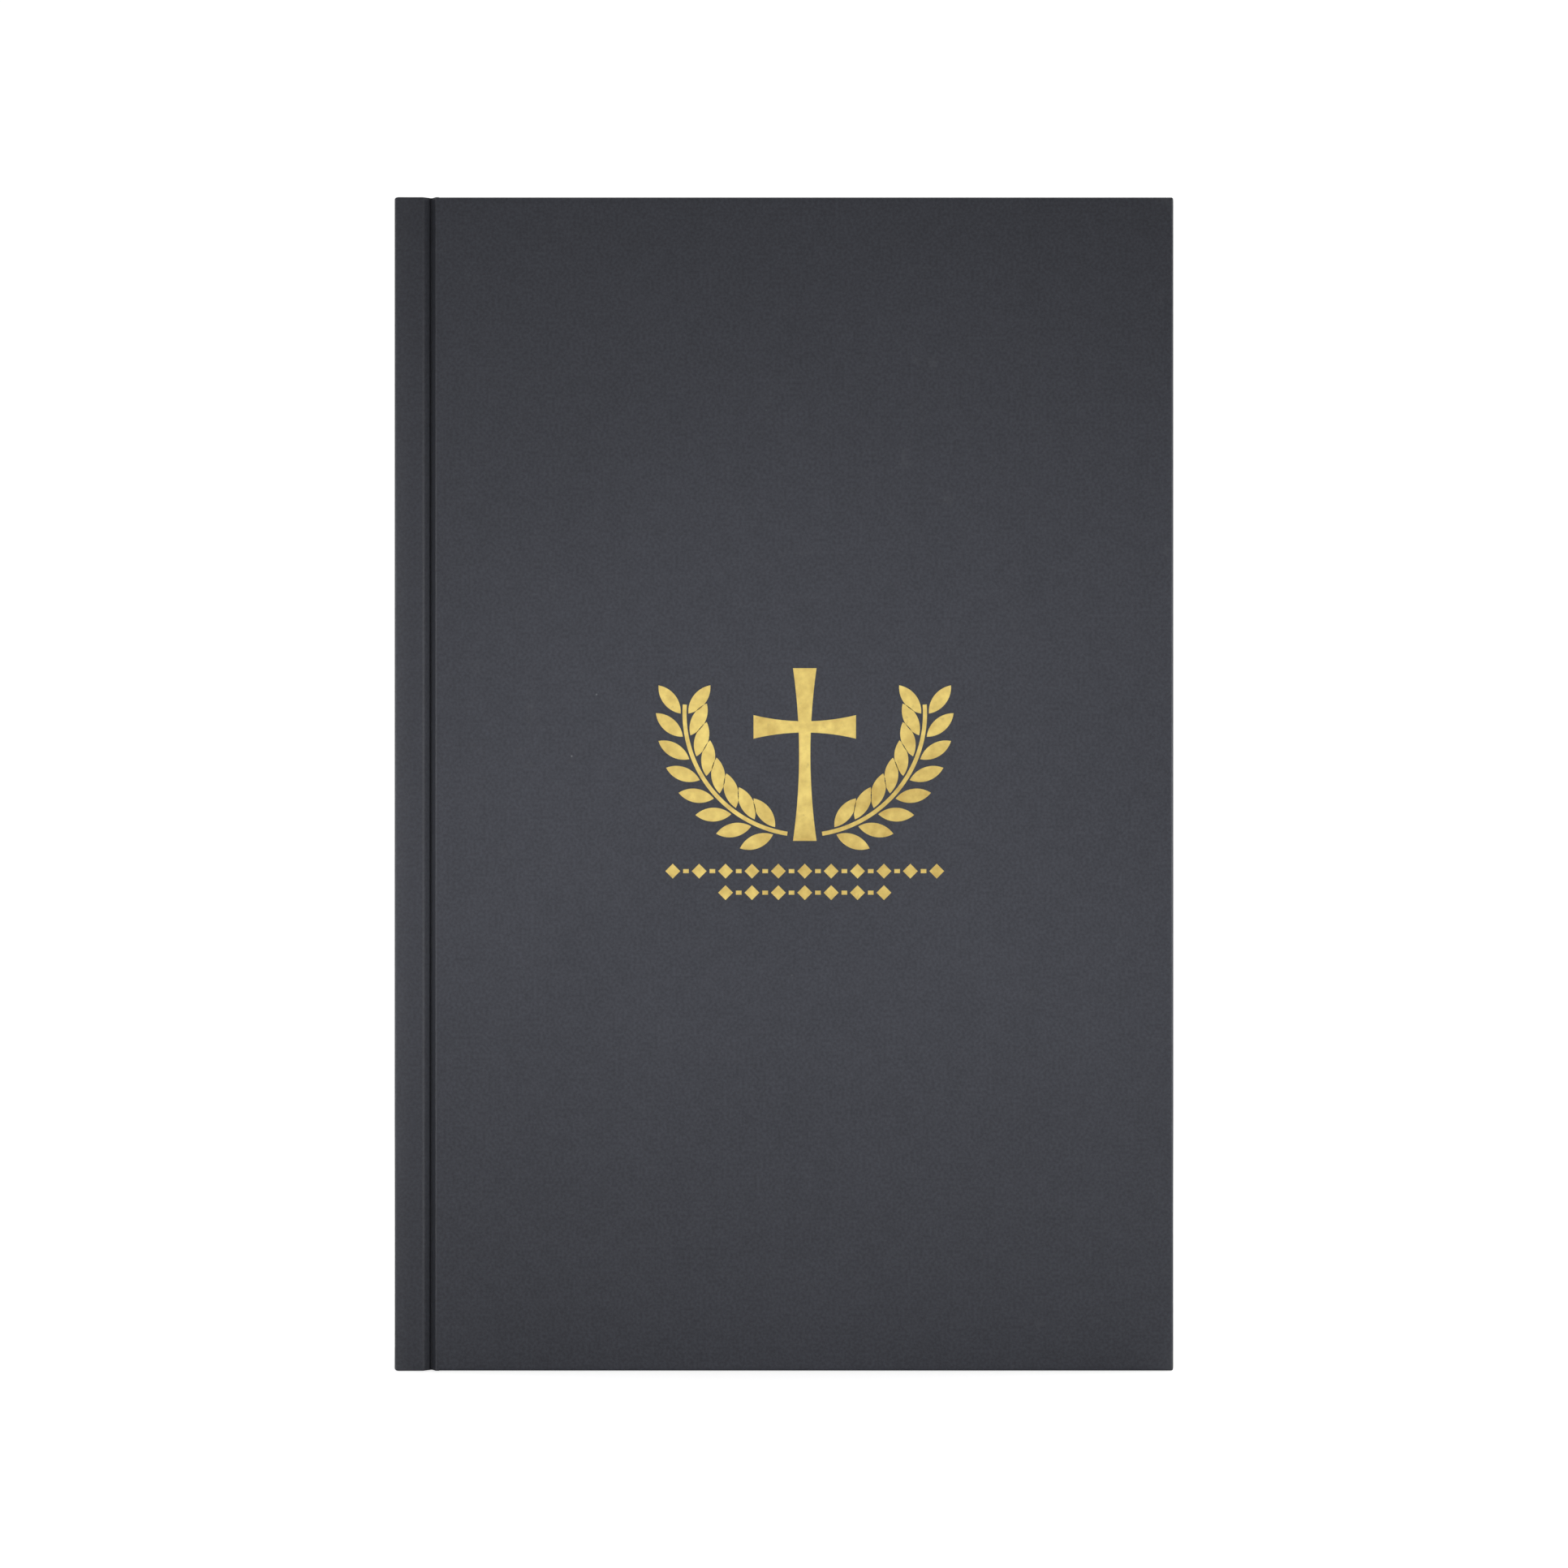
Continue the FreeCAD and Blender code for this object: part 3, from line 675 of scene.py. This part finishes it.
def leaves(columns, h0, h1, rng):
    """A signature as separate groups of leaves, trimmed a hair unevenly."""
    thick = (h1 - h0) / LEAF_GROUPS
    gap = 0.008
    creep = 0.03              # each group from the middle outwards ends this much shorter
    out = []
    for k in range(LEAF_GROUPS):
        end = LEAF_END - abs(rng.gauss(0, 0.035)) - creep * abs(k - (LEAF_GROUPS - 1) / 2)
        foot = LEAF_FOOT + abs(rng.gauss(0, 0.02))
        head = LEAF_HEAD - abs(rng.gauss(0, 0.02))
        out.append((columns, h0 + k * thick, h0 + (k + 1) * thick - gap, foot, head, end))
    return out


def paper_piece(piece, material):
    """Shading, pattern and finish of a piece of paper."""
    smooth(piece)
    keep_places(piece)
    dress(piece, material)


def depth_range(node, side):
    """Depths of a node's two faces below its cover's outer face."""
    low, high = box_mm(node)
    return sorted((HALF - side * low.y, HALF - side * high.y))


def section(number, side, columns, gap):
    """One signature, a gap short of the next one."""
    node = f"signature_{number:02d}"
    h0, h1 = depth_range(node, side)
    piece = slabs(f"leaves_{number:02d}", side, leaves(columns, h0, h1 - gap, random.Random(number)))
    paper_piece(piece, page_paper)
    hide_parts(node)
    return piece


def turning_section(number, side):
    """A signature next to a cover, with its points close near its folds."""
    piece = section(number, side, sheet_columns(), 0)
    if number == 1:
        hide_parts("bound_folds_front")
    if number == SIGNATURES:
        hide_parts("bound_folds_back")
    bend(piece)


def fixed_section(number):
    """A signature in the middle, which stays with the spine."""
    piece = section(number, FRONT, [FOLDS_AT, HINGE_AT, LEAF_BEND[1], LEAF_END], 0.04)
    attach(piece, BLOCK)


def endpapers(side, word):
    """The pastedown and the flyleaf of one side, each running from the fold at the spine."""
    flat_margin = 15.0
    start, end = JOINT_BEND
    columns = [FOLDS_AT, (FOLDS_AT + start) / 2] + even(start, end, 14)
    columns += [BOARD_AT + flat_margin, LEAF_END - flat_margin, LEAF_END]
    paste = slabs(f"{word}_pastedown_sheet", side,
                  [(columns, BOARD_IN, PASTE_IN, LEAF_FOOT, LEAF_HEAD, LEAF_END)])
    paper_piece(paste, end_paper)
    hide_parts(f"{word}_pastedown")
    bend(paste)
    fold_end = FOLDS_AT + 0.2
    fly = slabs(f"{word}_flyleaf_sheet", side,
                [(sheet_columns(), FLY_OUT, FLY_IN, LEAF_FOOT, LEAF_HEAD, LEAF_END),
                 ([FOLDS_AT, fold_end], PASTE_IN, FLY_OUT, LEAF_FOOT, LEAF_HEAD, fold_end)])
    paper_piece(fly, end_paper)
    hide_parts(f"{word}_flyleaf", f"{word}_endpaper_fold")
    bend(fly)


# ---- headbands ----

def headband(word):
    """A wrapped bead over the folds at head or tail, its turns of silk standing out."""
    low, high = box_mm(f"{word}_band")
    radius = 0.9
    lean = 0.12               # how far a turn leans along the band
    z = high.z - radius if word == "head" else low.z + radius
    centre = Vector((high.x - radius, 0, z))
    rounds, around = 130, 14
    verts, faces = [], []
    for i in range(rounds + 1):
        y = low.y + (high.y - low.y) * i / rounds
        swell = radius * (0.955 + 0.045 * math.cos(i * math.pi))    # every second ring stands out
        if i in (0, rounds):
            swell *= 0.75
        for k in range(around):
            angle = 2 * math.pi * k / around
            spot = centre + Vector((math.cos(angle), 0, math.sin(angle))) * swell
            verts.append(Vector((spot.x, y + lean * math.sin(angle), spot.z)) * MM)
    for i in range(rounds):
        for k in range(around):
            a, b = i * around + k, i * around + (k + 1) % around
            faces.append((a, b, b + around, a + around))
    faces += [tuple(range(around)), tuple(range(rounds * around, rounds * around + around))]
    bead = link(f"{word}_bead", verts, faces)
    smooth(bead)
    keep_places(bead)
    dress(bead, headband_silk)
    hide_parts(f"{word}_band")
    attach(bead, BLOCK)


# ---- CAD nodes that stay ----

def dress_frame():
    """Better materials on the CAD nodes that are shown as they are."""
    for name, material in (
        ("cover_foil_ornament", foil), ("spine_foil_ornament", foil),
        ("front_board", grey_board), ("back_board", grey_board), ("spine_board", grey_board),
        ("mull", mull_weave), ("front_mull_flange", mull_weave), ("back_mull_flange", mull_weave),
        ("spine_lining", kraft), ("sewing_thread", thread_twist),
    ):
        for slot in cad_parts[name].material_slots:
            slot.material = material


# ---- stage, light and camera ----

def camera():
    """Square on to the front cover, at its middle."""
    data = bpy.data.cameras.new("camera")
    data.sensor_width = 36.0
    data.lens = 100.0
    seen = 305.9 * MM         # width of the view at the front cover
    distance = seen * data.lens / data.sensor_width
    eye = bpy.data.objects.new("camera", data)
    eye.location = (0, -HALF * MM - distance, HEIGHT * MM / 2)
    eye.rotation_euler = (math.pi / 2, 0, 0)
    bpy.context.scene.collection.objects.link(eye)
    bpy.context.scene.camera = eye


def floor():
    """A plain white floor: a soft contact shadow near the book, running into a white background."""
    size = 6.0
    below = 0.0001            # keeps the floor clear of the tail edge
    corners = [(-size, -size, 0), (size, -size, 0), (size, size, 0), (-size, size, 0)]
    piece = link("floor", corners, [(0, 1, 2, 3)])
    n = Nodes("white_floor")
    diffuse = n.add("BsdfDiffuse", {"Color": (0.80, 0.80, 0.80, 1)})
    seen = n.add("LightPath").outputs["Is Camera Ray"]
    glow = n.add("Emission", {"Color": (1, 1, 1, 1), "Strength": n.ramp(seen, 0, 1, 0.05, 0.66)})
    near = n.add("AddShader", {0: diffuse.outputs[0], 1: glow.outputs[0]})
    far = n.add("Emission", {"Color": (1, 1, 1, 1), "Strength": n.ramp(seen, 0, 1, 0.2, 1.02)})
    away = n.add("VectorMath", {0: n.object_places()}, operation="LENGTH").outputs["Value"]
    both = n.add("MixShader", {0: n.ramp(away, 0.30, 0.60), 1: near.outputs[0], 2: far.outputs[0]})
    n.add("OutputMaterial", {"Surface": both.outputs[0]})
    dress(piece, n.material)
    piece.location.z = -below


def lamp(data, place, aim):
    """A light at a place, turned towards a point."""
    piece = bpy.data.objects.new(data.name, data)
    piece.location = place
    piece.rotation_euler = (Vector(aim) - Vector(place)).to_track_quat("-Z", "Y").to_euler()
    piece.visible_camera = False
    bpy.context.scene.collection.objects.link(piece)
    return piece


def area_light(name, place, aim, size, power):
    """A rectangular soft light."""
    data = bpy.data.lights.new(name, "AREA")
    data.shape = "RECTANGLE"
    data.size, data.size_y = size
    data.energy = power
    lamp(data, place, aim)


def spot_light(name, place, aim, reach, power):
    """A soft spot that lights a patch of a given radius, fading from its middle to its rim."""
    data = bpy.data.lights.new(name, "SPOT")
    data.energy = power
    data.shadow_soft_size = 0.12
    data.spot_size = 2 * math.atan(reach / (Vector(aim) - Vector(place)).length)
    data.spot_blend = 1.0
    lamp(data, place, aim).scale.x = 0.8      # a cone narrower than it is tall


def lights():
    """A soft spot on the front from each side, a card behind the camera, and fill all round."""
    middle = (0, -0.02, 0.112)
    spot_light("left_spot", (-0.60, -0.55, 0.11), (-0.004, -0.02, 0.106), 0.152, 31.5)
    spot_light("right_spot", (0.60, -0.55, 0.11), (0.004, -0.02, 0.106), 0.152, 28.5)
    area_light("front_card", (-0.15, -1.60, 0.16), middle, (1.2, 1.2), 4.1)
    area_light("back_soft", (0.5, 1.4, 0.7), middle, (1.2, 1.0), 12.0)
    area_light("spine_soft", (-1.2, 0.3, 0.4), middle, (0.8, 0.8), 7.0)
    area_light("fore_soft", (1.2, 0.3, 0.4), middle, (0.8, 0.8), 7.0)
    area_light("top_soft", (0.1, 0.1, 1.5), middle, (1.4, 1.4), 10.0)


def surround():
    """A white world: bright behind the object, dim as a light on it."""
    world = bpy.data.worlds.new("surround")
    bpy.context.scene.world = world
    world.use_nodes = True
    nodes, links = world.node_tree.nodes, world.node_tree.links
    nodes.clear()
    seen = nodes.new("ShaderNodeLightPath")
    mix = nodes.new("ShaderNodeMixShader")
    out = nodes.new("ShaderNodeOutputWorld")
    links.new(seen.outputs["Is Camera Ray"], mix.inputs[0])
    lighting, showing = 0.17, 1.05
    for index, strength in ((1, lighting), (2, showing)):
        background = nodes.new("ShaderNodeBackground")
        background.inputs["Color"].default_value = (1, 1, 1, 1)
        background.inputs["Strength"].default_value = strength
        links.new(background.outputs[0], mix.inputs[index])
    links.new(mix.outputs[0], out.inputs["Surface"])
    bpy.context.scene.view_settings.view_transform = "Standard"


cover_piece(FRONT, "front")
cover_piece(BACK, "back")
spine_piece()
endpapers(FRONT, "front")
endpapers(BACK, "back")
for turned in range(TURNING):
    turning_section(1 + turned, FRONT)
    turning_section(SIGNATURES - turned, BACK)
for fixed in range(TURNING + 1, SIGNATURES - TURNING + 1):
    fixed_section(fixed)
headband("head")
headband("tail")
dress_frame()
camera()
floor()
lights()
surround()
